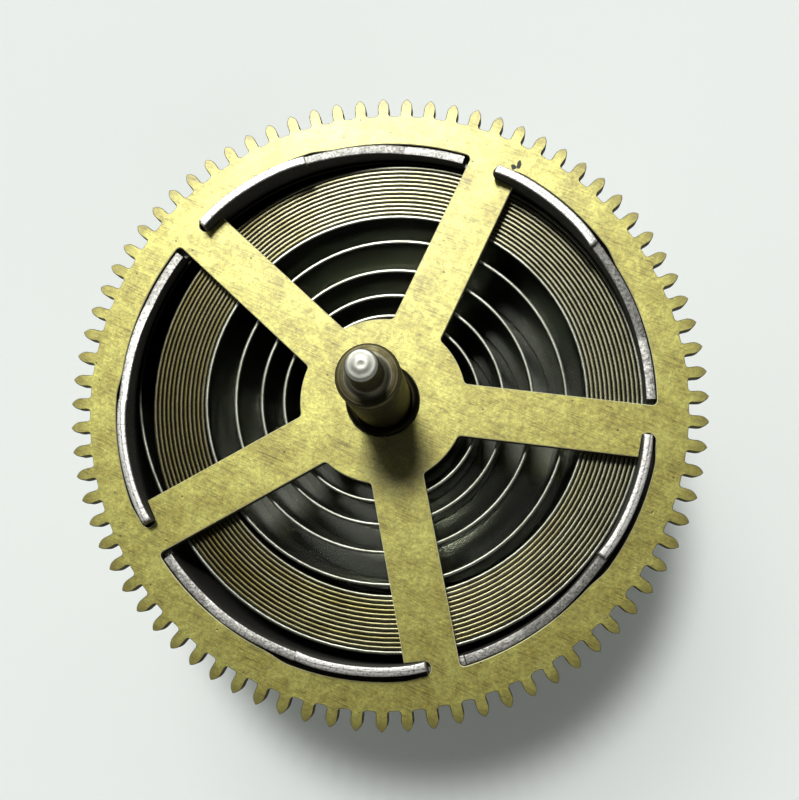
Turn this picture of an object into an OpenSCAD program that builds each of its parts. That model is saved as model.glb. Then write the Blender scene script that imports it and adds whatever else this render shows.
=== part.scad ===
// Going barrel of a pendulum clock: a toothed great wheel with five crossings
// is the lid of a drawn steel drum that holds the mainspring and its arbor.
// +Z runs along the arbor towards its rear pivot. The origin is on the axis, at
// the middle of the back plate that the rear pivot runs in.

/* [Great wheel] */
// Diameter of the pitch circle. With 80 teeth, 64 mm is module 0.8.
pitch_d = 64; // [60:0.2:80]
// Number of teeth
teeth = 80; // [60:1:84]
// Height of a tooth above the pitch circle
addendum = 1.0; // [0.8:0.05:1.2]
// Depth of a tooth space below the pitch circle
dedendum = 1.0; // [0.8:0.05:1.2]
// Thickness of a tooth on the pitch circle
tooth_t = 1.2; // [1.0:0.02:1.22]
// Fillet at the root of a tooth
root_fillet = 0.3; // [0.15:0.05:0.4]
// Thickness of the wheel
wheel_t = 1.5; // [1.2:0.1:2.4]
// Number of crossings
crossings = 5; // [4:1:6]
// Direction of the first crossing, in degrees
first_crossing = 136.6; // [90:0.2:160]
// Width of a crossing
crossing_w = 5.4; // [4:0.1:7]
// Radius of the hub where the crossings meet
hub_r = 8.6; // [7.5:0.1:11]
// Fillet in the corners of a window
corner_r = 0.5; // [0.2:0.1:1]
// Width of the rim between the tooth roots and the drum's outer wall
rim_w = 3; // [2.6:0.1:5]

/* [Drum] */
// Thickness of the drum's sheet
wall_t = 1.1; // [0.8:0.1:1.4]
// Radius of the drum's bottom edge, outside
drum_corner = 1.6; // [1.5:0.1:3]
// How far the wheel's rim laps over the drum's edge
seat_lap = 0.15; // [0.1:0.05:0.4]

/* [Tongues] */
// How far a tongue stands above the wheel's face
tongue_proud = 1.9; // [1:0.1:3]
// Height of the square step where a tongue's ramp meets its level top
tongue_step = 0.65; // [0.3:0.05:1]
// How far a tongue is set inwards from the drum's wall
tongue_set = 0.35; // [0.2:0.05:0.5]
// Angle that a tongue's ramp takes, in degrees
ramp_angle = 22.5; // [12:0.5:26]
// Angle that a tongue's level top takes, in degrees
level_angle = 27.8; // [15:0.2:29]
// Angle between a tongue's end and the middle of its crossing, in degrees
tongue_stop = 1.1; // [0.5:0.1:3]
// Room between a tongue's inner face and its slot
slot_gap = 0.1; // [0.1:0.05:0.3]
// How far a slot reaches outwards past the drum's wall
slot_past = 0.2; // [0.1:0.05:0.3]

/* [Mainspring] */
// Height of the spring strip
spring_h = 14.5; // [12:0.5:22]
// Thickness of the spring strip
strip_t = 0.4; // [0.3:0.02:0.5]
// Gap between the turns that lie in the outer pack
pack_gap = 0.42; // [0.42:0.02:0.56]
// Turns from the place where the strip leaves the wall to the pack's inner end
pack_turns = 7; // [4:1:7]
// Turns between the pack and the core
open_turns = 5.7; // [4:0.1:6]
// How far the pack lies off the drum's axis
pack_offset = 0.95; // [0:0.05:1.3]
// Direction in which the pack lies off the axis, in degrees
pack_direction = 18; // [0:2:50]
// Gap under the wheel and over the drum's floor
spring_room = 0.5; // [0.4:0.05:1]

/* [Arbor] */
// Diameter of the rear pivot
rear_pivot_d = 3; // [2:0.1:4]
// Length of the rear pivot
rear_pivot_l = 5.2; // [3:0.1:8]
// Thickness of the back plate that the rear pivot runs in
back_plate_t = 2; // [1:0.1:3]
// Diameter of the shaft between the rear pivot and the core
shaft_d = 6; // [5:0.1:7]
// Length of the shaft that stands above the wheel's face
shaft_reach = 14.4; // [8:0.1:20]
// Diameter of the front journal, in the drum's bush
journal_d = 8; // [7.2:0.1:9]
// Diameter of the front pivot
front_pivot_d = 5.5; // [5:0.1:5.8]
// Length of the front pivot
front_pivot_l = 3.2; // [2:0.1:5]
// Winding square, across its flats
square_w = 4; // [3:0.1:4.2]
// Length of the winding square
square_l = 6.5; // [5:0.5:16]
// Diameter of the core that the spring winds on
core_d = 12; // [11:0.1:13]
// Radial clearance of an arbor in a bush
running_fit = 0.03; // [0.02:0.01:0.05]
// End float of the core between its bushes, at each end
end_float = 0.2; // [0.1:0.05:0.4]

/* [Bushes, hooks and pin] */
// Outer diameter of the wheel's bush, where it passes through the wheel
wheel_bush_d = 7.6; // [7.2:0.1:9]
// How far the wheel's bush stands above the wheel's face
bush_proud = 0.7; // [0.3:0.1:1.2]
// Diameter of the flange under the wheel
wheel_flange_d = 10.8; // [10:0.1:11]
// Thickness of a bush's flange
flange_t = 1.2; // [0.8:0.1:1.6]
// Diameter of the drum's bush, where it passes through the floor
drum_bush_d = 11; // [10.4:0.1:12]
// Diameter of the flange under the drum's floor
drum_flange_d = 15; // [13:0.5:20]
// Diameter of a spring hook
hook_d = 2.4; // [1.6:0.1:3]
// Room round a hook in the spring's hole
hook_room = 0.3; // [0.2:0.05:0.6]
// How far a hook's end stands past the spring strip
hook_past = 0.15; // [0.05:0.05:0.2]
// Diameter of the taper pin through the core
pin_d = 2; // [1.5:0.1:2.5]
// Distance from the middle of the core to the taper pin
pin_drop = 4; // [3:0.5:5]
// Radial clearance of a pressed or riveted piece
press_fit = 0.01; // [0:0.01:0.02]

/* [Hidden] */
$fn = 72;
round_fn = 32;
edge_fn = 24;
over = 0.5;

brass = [0.78, 0.68, 0.33];
bush_brass = [0.72, 0.60, 0.30];
drum_steel = [0.62, 0.63, 0.64];
spring_steel = [0.45, 0.43, 0.38];
arbor_steel = [0.38, 0.37, 0.36];
pin_steel = [0.55, 0.55, 0.56];

// Heights along the arbor
rear_shoulder_z = -back_plate_t / 2;
wheel_top_z = rear_shoulder_z - shaft_reach;
wheel_under_z = wheel_top_z - wheel_t;
spring_top_z = wheel_under_z - spring_room;
spring_bottom_z = spring_top_z - spring_h;
floor_top_z = spring_bottom_z - spring_room;
floor_under_z = floor_top_z - wall_t;
front_shoulder_z = floor_under_z - flange_t - end_float / 2;
spring_middle_z = spring_top_z - spring_h / 2;
core_top_z = wheel_under_z - flange_t - end_float;
core_bottom_z = floor_top_z + flange_t + end_float;
pin_z = spring_middle_z - pin_drop;

// Radii of the wheel, its windows and slots
pitch_r = pitch_d / 2;
root_r = pitch_r - dedendum;
drum_r = root_r - rim_w;
drum_inner_r = drum_r - wall_t;
window_r = drum_r - seat_lap;
slot_outer_r = drum_r + slot_past;
slot_inner_r = drum_inner_r - tongue_set - slot_gap;
slot_end_r = (slot_outer_r - slot_inner_r) / 2;
slot_line_r = (slot_outer_r + slot_inner_r) / 2;

// Angles of a window, measured from the middle of the crossing at its
// anticlockwise end, where its tongue ends in the slot
window_angle = 360 / crossings;
tongue_end = -tongue_stop;
step_angle = tongue_end - level_angle;
ramp_start = step_angle - ramp_angle;
// The tongue's inner corner just clears the slot's round end
end_depth = sqrt(pow(slot_end_r, 2) - pow(slot_end_r - slot_gap, 2)) - 0.05;
slot_end = tongue_end - end_depth / slot_line_r * 180 / PI;

function crossing_angle(k) = first_crossing - k * window_angle;
function polar(r, a) = [r * cos(a), r * sin(a)];

// Half the outline of a tooth, from the middle of the space to the tip, as
// radius and sideways distance. The flank is radial and the tip is an ogive
// that springs from the pitch circle.
ogive_r = (addendum * addendum + tooth_t * tooth_t / 4) / tooth_t;
tip_steps = 3;
fillet_steps = 2;
function flank_half(r) = tooth_t / 2 * r / pitch_r;
function tooth_half() = concat(
    [for (i = [0:fillet_steps])
        let (a = 90 * i / fillet_steps)
        [root_r + root_fillet * (1 - cos(a)),
         flank_half(root_r) + root_fillet * (1 - sin(a))]],
    [for (i = [0:tip_steps - 1])
        let (h = addendum * i / tip_steps)
        [pitch_r + h, tooth_t / 2 - ogive_r + sqrt(ogive_r * ogive_r - h * h)]]
);

module toothed_disc() {
    half = tooth_half();
    n = len(half);
    polygon([for (i = [0:teeth - 1]) let (a = 360 * i / teeth) each concat(
        [for (j = [0:n - 1]) polar(half[j][0], a - half[j][1] / half[j][0] * 180 / PI)],
        [polar(pitch_r + addendum, a)],
        [for (j = [n - 1:-1:0]) polar(half[j][0], a + half[j][1] / half[j][0] * 180 / PI)]
    )]);
}

// Points of an arc about centre c, from angle a to angle b
function arc(c, r, a, b, n) = [for (i = [0:n]) c + polar(r, a + (b - a) * i / n)];
function smooth(u) = u * u * (3 - 2 * u);

// Outline of a window, anticlockwise, with its tongue's crossing along +X. From
// the clockwise corner at the hub it runs out along the next crossing, round
// the rim, out into the slot, round the slot's end, and back to the hub.
corner_y = crossing_w / 2 + corner_r;
hub_corner_x = sqrt(pow(hub_r + corner_r, 2) - corner_y * corner_y);
rim_corner_x = sqrt(pow(window_r - corner_r, 2) - corner_y * corner_y);
hub_corner_a = atan2(corner_y, hub_corner_x);
rim_corner_a = atan2(corner_y, rim_corner_x);
next_a = -window_angle;
relief_start = step_angle - 7;
relief_lead = 6;
arc_step = 2;
corner_steps = 5;

function window_outline() = concat(
    arc(turned([hub_corner_x, corner_y]), corner_r,
        next_a + hub_corner_a + 180, next_a + 270, corner_steps),
    arc(turned([rim_corner_x, corner_y]), corner_r,
        next_a + 270, next_a + rim_corner_a + 360, corner_steps),
    arc_points(window_r, next_a + rim_corner_a, relief_start),
    [for (i = [1:6])
        polar(window_r + (slot_outer_r - window_r) * smooth(i / 6), relief_start + relief_lead * i / 6)],
    arc_points(slot_outer_r, relief_start + relief_lead, slot_end, 0),
    arc(polar(slot_line_r, slot_end), slot_end_r, slot_end, slot_end + 180, 2 * corner_steps),
    arc_points(slot_inner_r, slot_end, -asin(crossing_w / 2 / slot_inner_r)),
    arc([hub_corner_x, -corner_y], corner_r, 90, 180 - hub_corner_a, corner_steps),
    arc_points(hub_r, -hub_corner_a, next_a + hub_corner_a, 0)
);
function turned(p) = polar(norm(p), atan2(p[1], p[0]) + next_a);
// Points of an arc about the axis, without its first one and, if last is 0,
// without its last one
function arc_points(r, a, b, last = 1) =
    let (n = ceil(abs(b - a) / arc_step))
    [for (i = [1:n - 1 + last]) polar(r, a + (b - a) * i / n)];

module windows() {
    for (k = [0:crossings - 1]) rotate(crossing_angle(k)) polygon(window_outline());
}

module great_wheel() {
    color(brass) translate([0, 0, wheel_under_z]) linear_extrude(wheel_t) difference() {
        toothed_disc();
        windows();
        circle(d = wheel_bush_d + 2 * press_fit);
    }
}

module wheel_bush() {
    color(arbor_steel) difference() {
        union() {
            translate([0, 0, wheel_under_z - over])
                cylinder(h = wheel_t + bush_proud + over, d = wheel_bush_d);
            translate([0, 0, wheel_under_z - flange_t]) cylinder(h = flange_t, d = wheel_flange_d);
        }
        translate([0, 0, wheel_under_z - flange_t - over])
            cylinder(h = wheel_t + bush_proud + flange_t + 2 * over, r = shaft_d / 2 + running_fit);
    }
}

// Half section of a cup whose bottom edge is rounded, from the axis outwards
module cup_section(r, bottom, top, corner) {
    translate([0, bottom]) square([r - corner, top - bottom]);
    translate([0, bottom + corner]) square([r, top - bottom - corner]);
    translate([r - corner, bottom + corner]) circle(r = corner, $fn = edge_fn);
}

// A tongue is the drum's own wall, set inwards as it passes the wheel. Its foot
// stands inside the wall, and its ramp starts just under the wall's edge.
module tongue() {
    hidden = seat_lap + 0.05;
    set_top_z = wheel_under_z + 0.7 * wheel_t;
    top_z = wheel_top_z + tongue_proud;
    foot_z = wheel_under_z - over;
    inner_r = drum_inner_r - tongue_set;
    outer_r = drum_r - tongue_set;
    ramp_l = (inner_r + outer_r) / 2 * sin(ramp_angle);
    ramp_foot = over / 2;
    ramp_lead = ramp_foot * ramp_l / (top_z - tongue_step - wheel_under_z);
    intersection() {
        rotate([0, 0, ramp_start - 5]) rotate_extrude(angle = 5 + ramp_angle + level_angle) polygon([
            [drum_inner_r + hidden, foot_z], [drum_r - hidden, foot_z],
            [drum_r - hidden, wheel_under_z], [outer_r, set_top_z], [outer_r, top_z],
            [inner_r, top_z], [inner_r, set_top_z]
        ]);
        rotate([0, 0, step_angle]) rotate([90, 0, 90]) linear_extrude(drum_r + over) polygon([
            [-ramp_l - ramp_lead, foot_z - over],
            [-ramp_l - ramp_lead, wheel_under_z - ramp_foot],
            [0, top_z - tongue_step],
            [0, top_z + over],
            [drum_r, top_z + over],
            [drum_r, foot_z - over]
        ]);
    }
}

// Where the spring's outer end is held, and where its inner end is
outer_hook_angle = 67.5;
end_length = 7.5;
module hook_axis(a, z) {
    translate([0, 0, z]) rotate([0, 0, a]) rotate([0, 90, 0]) children();
}

module barrel_drum() {
    color(drum_steel) difference() {
        union() {
            rotate_extrude() difference() {
                cup_section(drum_r, floor_under_z, wheel_under_z, drum_corner);
                cup_section(drum_inner_r, floor_top_z, wheel_under_z + over,
                    min(drum_corner - wall_t, spring_room));
            }
            for (k = [0:crossings - 1]) rotate([0, 0, crossing_angle(k)]) tongue();
        }
        translate([0, 0, floor_under_z - over])
            cylinder(h = wall_t + 2 * over, d = drum_bush_d + 2 * press_fit);
        hook_axis(outer_hook_angle, spring_middle_z)
            cylinder(h = drum_r + over, r = hook_d / 2 + press_fit, $fn = round_fn);
    }
}

module drum_bush() {
    color(bush_brass) difference() {
        union() {
            translate([0, 0, floor_under_z]) cylinder(h = wall_t + flange_t, d = drum_bush_d);
            translate([0, 0, floor_under_z - flange_t])
                cylinder(h = flange_t, d = drum_flange_d);
        }
        translate([0, 0, floor_under_z - flange_t - over])
            cylinder(h = wall_t + 2 * flange_t + 2 * over, r = journal_d / 2 + running_fit);
    }
}

// Centre line of the strip. It leaves the wall hook, lies along the wall, joins
// the pack, and runs inwards and anticlockwise to the core.
turn_steps = 48;
step_deg = 360 / turn_steps;
core_r = core_d / 2;
strip_room = 0.1;
wall_line_r = drum_inner_r - strip_room - strip_t / 2;
core_line_r = core_r + strip_room + strip_t / 2;
wall_angle = 112.5;
join_angle = 45;
pack_pitch = strip_t + pack_gap;
pack_line_r = wall_line_r - pack_offset;
pack_end_r = pack_line_r - pack_turns * pack_pitch;
open_power = 1.47;
wall_steps = round(wall_angle / step_deg);
join_steps = round(join_angle / step_deg);
pack_steps = round(pack_turns * turn_steps) - join_steps;
open_steps = round(open_turns * turn_steps);
strip_steps = wall_steps + join_steps + pack_steps + open_steps;
start_angle = step_deg * floor((outer_hook_angle - end_length) / step_deg);

function line_r(i) =
    i < wall_steps ? wall_line_r
    : i < wall_steps + join_steps ?
        wall_line_r + (pack_line_r - wall_line_r) * smooth((i - wall_steps) / join_steps)
    : i < wall_steps + join_steps + pack_steps ?
        pack_line_r - pack_pitch * (i - wall_steps - join_steps) / turn_steps
    : core_line_r + (pack_end_r - core_line_r)
        * pow(max(0, (strip_steps - i) / open_steps), open_power);
function line_offset(i) =
    i < wall_steps ? 0
    : i < wall_steps + join_steps ? pack_offset * smooth((i - wall_steps) / join_steps)
    : pack_offset * min(1, (line_r(i) - core_line_r) / (pack_end_r - core_line_r));
function strip_point(i, side) =
    polar(line_r(i) + side * strip_t / 2, start_angle + i * step_deg)
    + polar(line_offset(i), pack_direction);

// Least gap of the strip to itself, from each point to the points that lie
// beside it on the next turn in
near_steps = 5;
line = [for (i = [0:strip_steps]) strip_point(i, 0)];
self_gap = min([for (i = [0:strip_steps - turn_steps]) min([
    for (j = [max(i + turn_steps - near_steps, 0):min(i + turn_steps + near_steps, strip_steps)])
        norm(line[i] - line[j])
])]) - strip_t;
line_length = [for (i = [1:strip_steps]) norm(line[i] - line[i - 1])] * [for (i = [1:strip_steps]) 1];
echo(strip_turns = strip_steps / turn_steps, least_gap_mm = self_gap, length_mm = line_length);

inner_hook_angle = start_angle + strip_steps * step_deg - 30;

module mainspring() {
    color(spring_steel) difference() {
        translate([0, 0, spring_bottom_z]) linear_extrude(spring_h) polygon(concat(
            [for (i = [0:strip_steps]) strip_point(i, 1)],
            [for (i = [strip_steps:-1:0]) strip_point(i, -1)]
        ));
        hook_axis(outer_hook_angle, spring_middle_z)
            translate([0, 0, wall_line_r - strip_t])
                cylinder(h = 2 * strip_t, r = hook_d / 2 + hook_room, $fn = round_fn);
        hook_axis(inner_hook_angle, spring_middle_z)
            translate([0, 0, core_line_r - strip_t])
                cylinder(h = 2 * strip_t, r = hook_d / 2 + hook_room, $fn = round_fn);
    }
}

// Rivet through the drum's wall, with a domed head outside
module wall_hook() {
    head_r = hook_d * 0.9;
    head_h = hook_d / 3;
    inner_end = wall_line_r - strip_t / 2 - hook_past;
    color(pin_steel) {
        hook_axis(outer_hook_angle, spring_middle_z) translate([0, 0, inner_end])
            cylinder(h = drum_r + head_h / 2 - inner_end, d = hook_d, $fn = round_fn);
        difference() {
            hook_axis(outer_hook_angle, spring_middle_z) translate([0, 0, drum_r - over])
                cylinder(h = over + head_h, r1 = head_r, r2 = head_r * 0.6, $fn = round_fn);
            translate([0, 0, floor_under_z]) cylinder(h = spring_h + drum_r, r = drum_r);
        }
    }
}

module arbor() {
    chamfer = 0.2;
    corner_past = 0.5;
    color(arbor_steel) difference() {
        union() {
            rotate_extrude() polygon([
                [0, rear_shoulder_z + rear_pivot_l],
                [rear_pivot_d / 2 - chamfer, rear_shoulder_z + rear_pivot_l],
                [rear_pivot_d / 2, rear_shoulder_z + rear_pivot_l - chamfer],
                [rear_pivot_d / 2, rear_shoulder_z],
                [shaft_d / 2 - chamfer, rear_shoulder_z],
                [shaft_d / 2, rear_shoulder_z - chamfer],
                [shaft_d / 2, core_bottom_z],
                [journal_d / 2, core_bottom_z],
                [journal_d / 2, front_shoulder_z],
                [front_pivot_d / 2, front_shoulder_z],
                [front_pivot_d / 2, front_shoulder_z - front_pivot_l],
                [0, front_shoulder_z - front_pivot_l]
            ]);
            intersection() {
                translate([-square_w / 2, -square_w / 2, front_shoulder_z - front_pivot_l - square_l])
                    cube([square_w, square_w, square_l + over]);
                translate([0, 0, front_shoulder_z - front_pivot_l - square_l])
                    cylinder(h = square_l + over, d = front_pivot_d - corner_past);
            }
        }
        translate([-core_d, 0, pin_z]) rotate([0, 90, 0])
            cylinder(h = 2 * core_d, r = pin_d / 2 + press_fit, $fn = round_fn);
    }
}

module arbor_core() {
    color(pin_steel) difference() {
        translate([0, 0, core_bottom_z]) cylinder(h = core_top_z - core_bottom_z, d = core_d);
        translate([0, 0, core_bottom_z - over])
            cylinder(h = core_top_z - core_bottom_z + 2 * over, r = shaft_d / 2 + press_fit);
        translate([-core_d, 0, pin_z]) rotate([0, 90, 0])
            cylinder(h = 2 * core_d, r = pin_d / 2 + press_fit, $fn = round_fn);
        hook_axis(inner_hook_angle, spring_middle_z)
            cylinder(h = core_d, r = hook_d / 2 + press_fit, $fn = round_fn);
    }
}

module core_pin() {
    color(pin_steel) translate([-core_r, 0, pin_z]) rotate([0, 90, 0])
        cylinder(h = core_d, d = pin_d, $fn = round_fn);
}

module core_hook() {
    color(pin_steel) hook_axis(inner_hook_angle, spring_middle_z)
        translate([0, 0, shaft_d / 2 + strip_room])
            cylinder(
                h = core_line_r + strip_t / 2 + hook_past - shaft_d / 2 - strip_room,
                d = hook_d, $fn = round_fn
            );
}

great_wheel();
wheel_bush();
barrel_drum();
drum_bush();
wall_hook();
mainspring();
arbor();
arbor_core();
core_pin();
core_hook();
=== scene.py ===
"""Going barrel of a pendulum clock: great wheel, drum, mainspring and arbor."""

import math

import bmesh
import bpy
from bpy.props import FloatProperty, FloatVectorProperty, IntProperty, PointerProperty
from mathutils import Matrix, Vector, noise
from mathutils.geometry import tessellate_polygon


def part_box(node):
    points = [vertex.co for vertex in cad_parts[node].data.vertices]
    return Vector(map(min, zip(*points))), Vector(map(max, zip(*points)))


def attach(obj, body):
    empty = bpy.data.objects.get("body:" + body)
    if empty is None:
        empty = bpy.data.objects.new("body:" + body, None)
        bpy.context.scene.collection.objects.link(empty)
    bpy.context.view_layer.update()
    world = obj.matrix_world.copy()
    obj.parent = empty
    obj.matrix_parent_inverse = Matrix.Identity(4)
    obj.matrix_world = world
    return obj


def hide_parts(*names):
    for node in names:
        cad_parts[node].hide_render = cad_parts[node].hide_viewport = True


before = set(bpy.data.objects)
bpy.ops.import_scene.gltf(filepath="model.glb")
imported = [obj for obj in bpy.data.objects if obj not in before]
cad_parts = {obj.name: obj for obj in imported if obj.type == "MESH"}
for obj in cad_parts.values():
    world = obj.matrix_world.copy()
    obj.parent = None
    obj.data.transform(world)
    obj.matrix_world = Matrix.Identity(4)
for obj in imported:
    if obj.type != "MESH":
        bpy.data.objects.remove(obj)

bl_info = {
    "name": "Going Barrel",
    "version": (1, 0, 0),
    "blender": (4, 5, 0),
    "location": "3D View > Sidebar > Going Barrel",
    "description": "Builds and finishes the going barrel of a pendulum clock",
    "category": "Object",
}

MM = 0.001
# Radial room of the arbor in its bushes, and of a riveted neck in its hole.
RUNNING, SNUG = 0.03 * MM, 0.01 * MM
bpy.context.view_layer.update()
WHEEL_LOW, WHEEL_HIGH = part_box("great_wheel")
DRUM_LOW, DRUM_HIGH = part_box("barrel_drum")
SPRING_LOW, SPRING_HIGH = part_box("mainspring")
ARBOR_LOW, ARBOR_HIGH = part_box("arbor")
CORE_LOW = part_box("arbor_core")[0]
BUSH_LOW, BUSH_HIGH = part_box("wheel_bush")
DRUM_BUSH_LOW, DRUM_BUSH_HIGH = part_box("drum_bush")
HOOK_LOW, HOOK_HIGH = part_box("wall_hook")


def srgb(code):
    """Linear colour of an sRGB hex value."""
    channels = [int(code[i:i + 2], 16) / 255 for i in (1, 3, 5)]
    return [c / 12.92 if c <= 0.04045 else ((c + 0.055) / 1.055) ** 2.4 for c in channels]


def length(name, description, value):
    """A size in metres, from a value in millimetres."""
    return FloatProperty(
        name=name, description=description, default=value * MM, unit="LENGTH", precision=5)


def angle(name, description, degrees):
    """An angle, from a value in degrees."""
    return FloatProperty(
        name=name, description=description, default=math.radians(degrees), subtype="ANGLE")


def number(name, description, value, least=0):
    """A plain number that is never below its least value."""
    return FloatProperty(name=name, description=description, default=value, min=least)


def colour(name, description, code):
    """A colour, from an sRGB hex value."""
    return FloatVectorProperty(
        name=name, description=description, default=srgb(code), subtype="COLOR", size=3,
        min=0, max=1)


class BARREL_PG_wheel(bpy.types.PropertyGroup):
    """Sizes of the great wheel"""

    teeth: IntProperty(name="Teeth", description="Number of teeth", default=80, min=40)
    module: length("Module", "Pitch diameter divided by the number of teeth", 0.8)
    addendum: length("Addendum", "Height of a tooth above the pitch circle", 1.0)
    dedendum: length("Dedendum", "Depth of a tooth space below the pitch circle", 1.0)
    tooth: length("Tooth", "Thickness of a tooth on the pitch circle", 1.2)
    root: length("Root fillet", "Fillet at the root of a tooth", 0.3)
    chamfer: length("Edge", "Broken edge of the sheet", 0.07)
    crossings: IntProperty(name="Crossings", description="Number of crossings", default=5, min=3)
    first: angle("First crossing", "Direction of the first crossing", 136.6)
    crossing: length("Crossing", "Width of a crossing", 5.4)
    hub: length("Hub", "Radius of the hub", 8.6)
    corner: length("Window corner", "Fillet in a window's corners", 0.5)
    window: length("Window", "Outer radius of a window", 27.85)
    slot_inner: length("Slot, inside", "Inner radius of a tongue's slot", 26.45)
    slot_outer: length("Slot, outside", "Outer radius of a tongue's slot", 28.2)
    slot_end: angle("Slot end", "Angle between a slot's round end and its crossing's middle", 1.85)
    slot_close: length("Slot close", "How much a slot narrows at its round end", 0.28)
    bore: length("Bore", "Radius of the hole for the bush", 3.81)


class BARREL_PG_drum(bpy.types.PropertyGroup):
    """Sizes of the drum and its tongues"""

    wall: length("Sheet", "Thickness of the sheet", 1.1)
    radius: length("Radius", "Outer radius of the wall", 28.0)
    corner: length("Bottom edge", "Outer radius of the bottom edge", 1.6)
    hole: length("Hole", "Radius of the hole for the bush", 5.51)
    inset: length("Inset", "How far a tongue is set inwards", 0.35)
    flare: length("Flare", "How far the wall's edge spreads under the wheel", 0.22)
    thin: length("Thinning", "How much thinner a tongue is than the sheet", 0.16)
    ledge: length("Ledge", "Width of the ledge that the wheel rests on", 0.2)
    step: length("Step", "Height of the step between ramp and level top", 0.65)
    rise: length("Rise", "Height of the wall's edge in a window above the wheel's lower face", 1.15)
    lip: length("Lip", "Rounding of the wall's upper edge", 0.16)
    bow: length("Bow", "How far a tongue's ends bend inwards", 0.2)
    stop: angle("Tongue end", "Angle between a tongue's end and its crossing's middle", 1.1)
    level: angle("Level top", "Angle that a tongue's level top takes", 27.8)
    ramp: angle("Ramp", "Angle that a tongue's ramp takes", 22.5)


class BARREL_PG_spring(bpy.types.PropertyGroup):
    """Sizes of the mainspring"""

    strip: length("Strip", "Thickness of the strip", 0.405)
    edge: length("Edge", "Rounding of the strip's edges", 0.12)
    start: angle("Outer end", "Direction of the strip's outer end", 60)
    leaves: angle("Leaves the wall", "Direction in which the strip leaves the wall", 165)
    joins: angle("Joins the pack", "Direction in which the strip joins the pack", 217)
    wall_line: length("Wall line", "Radius of the strip's middle along the wall", 26.63)
    pack_line: length("Pack line", "Radius of the pack's first turn", 25.97)
    pitch: length("Pitch", "Distance from turn to turn in the pack", 0.464)
    pack_turns: number("Pack turns", "Turns in the pack", 12.9, least=1)
    open_turns: number("Open turns", "Turns between pack and core", 6.5, least=1)
    power: number("Spread", "How the open turns spread outwards", 1.75, least=1)
    core_line: length("Core line", "Radius of the strip's middle on the core", 6.3)
    offset: length("Offset", "How far the pack lies off the axis", 0.98)
    direction: angle("Offset direction", "Direction in which the pack lies off the axis", 18.4)


class BARREL_PG_arbor(bpy.types.PropertyGroup):
    """Sizes of the arbor"""

    pivot: length("Rear pivot", "Radius of the rear pivot", 1.5)
    pivot_length: length("Rear pivot length", "Length of the rear pivot", 5.2)
    root: length("Pivot root", "Fillet at the root of the rear pivot", 0.65)
    shaft: length("Shaft", "Radius of the shaft", 3.0)
    journal: length("Journal", "Radius of the front journal", 4.0)
    front: length("Front pivot", "Radius of the front pivot", 2.75)
    front_length: length("Front pivot length", "Length of the front pivot", 3.2)
    square: length("Square", "Winding square across its flats", 4.0)
    square_length: length("Square length", "Length of the winding square", 6.5)
    corners: length("Square's corners", "Radius to which the square's corners are turned", 2.5)


class BARREL_PG_finish(bpy.types.PropertyGroup):
    """Colours of the finishes"""

    brass: colour("Brass", "Rolled brass sheet, cleaned", "#B4B05D")
    brass_dark: colour("Dull brass", "Brass where it has dulled", "#908438")
    brass_old: colour("Old brass", "Brass of the teeth, under old oil", "#6F6630")
    # Painted shade: the side walls of teeth and windows, and the broken edges outside the windows,
    # take this near-black colour.
    brass_wall_shade: colour("Cut brass", "Side walls of teeth and windows", "#2F2A12")
    # Painted highlight: the broken edges in the windows take this pale colour.
    brass_edge_highlight: colour("Brass edge", "Broken edges, rubbed pale", "#F2EDB8")
    bush: colour("Bush brass", "Turned brass of the drum's bush", "#CDB066")
    drum: colour("Drum steel", "Drawn mild steel", "#B9B8B2")
    drum_dark: colour("Scale", "Dull places of the drawn steel", "#77746B")
    oiled: colour("Oiled steel", "Drawn steel under a film of clean oil", "#A2A599")
    # Also the colour of the painted shadow on the hub and the painted shade on the spring pack's
    # left side.
    grime_and_shade: colour("Grime", "Old oil and dirt", "#4A4228")
    spring: colour("Spring steel", "Rolled and tempered spring steel", "#ACAEA4")
    spring_edge: colour("Spring edge", "Ground edge of the spring", "#A2A496")
    spring_oil: colour("Oiled edge", "Ground edge under old oil", "#817A4A")
    arbor: colour("Arbor steel", "Turned steel, browned by oil", "#57533C")
    # Also the colour of painted shade: the drum's gaps and inner faces and the arbor's foot.
    soot_and_shade: colour("Black oil", "Oil that has gone black in corners", "#1C1A10")
    # Also painted round the pivot's root as a highlight.
    rubbed: colour("Rubbed steel", "Steel rubbed bare by the plate and the file", "#8F8F86")
    bright: colour("Bright steel", "Polished steel of pivots and pins", "#D8D6D0")


class BARREL_PG_stage(bpy.types.PropertyGroup):
    """Light, floor and camera"""

    key: number("Key light", "Strength of the key light", 1.85)
    low: number("Low light", "Strength of the lower light behind it", 0.65)
    fill: number("Fill light", "Strength of the low fill light", 0.4)
    gleam: number("Gleams", "Strength of two faint lights that the drum's floor mirrors", 0.011)
    sky: number("Sky", "Strength of the light from all round", 0.25)
    floor: colour("Floor", "Pale table", "#F1F5F1")
    lens: number("Lens", "Focal length on a 36 mm sensor", 44.47, least=1)


GROUPS = {
    "wheel": BARREL_PG_wheel,
    "drum": BARREL_PG_drum,
    "spring": BARREL_PG_spring,
    "arbor": BARREL_PG_arbor,
    "finish": BARREL_PG_finish,
    "stage": BARREL_PG_stage,
}


class BARREL_PG_settings(bpy.types.PropertyGroup):
    """All settings of the barrel"""

    wheel: PointerProperty(type=BARREL_PG_wheel)
    drum: PointerProperty(type=BARREL_PG_drum)
    spring: PointerProperty(type=BARREL_PG_spring)
    arbor: PointerProperty(type=BARREL_PG_arbor)
    finish: PointerProperty(type=BARREL_PG_finish)
    stage: PointerProperty(type=BARREL_PG_stage)


# Meshes


def polar(radius, turn, height=0.0):
    """Point at a radius, a direction in radians and a height."""
    return Vector((radius * math.cos(turn), radius * math.sin(turn), height))


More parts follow.
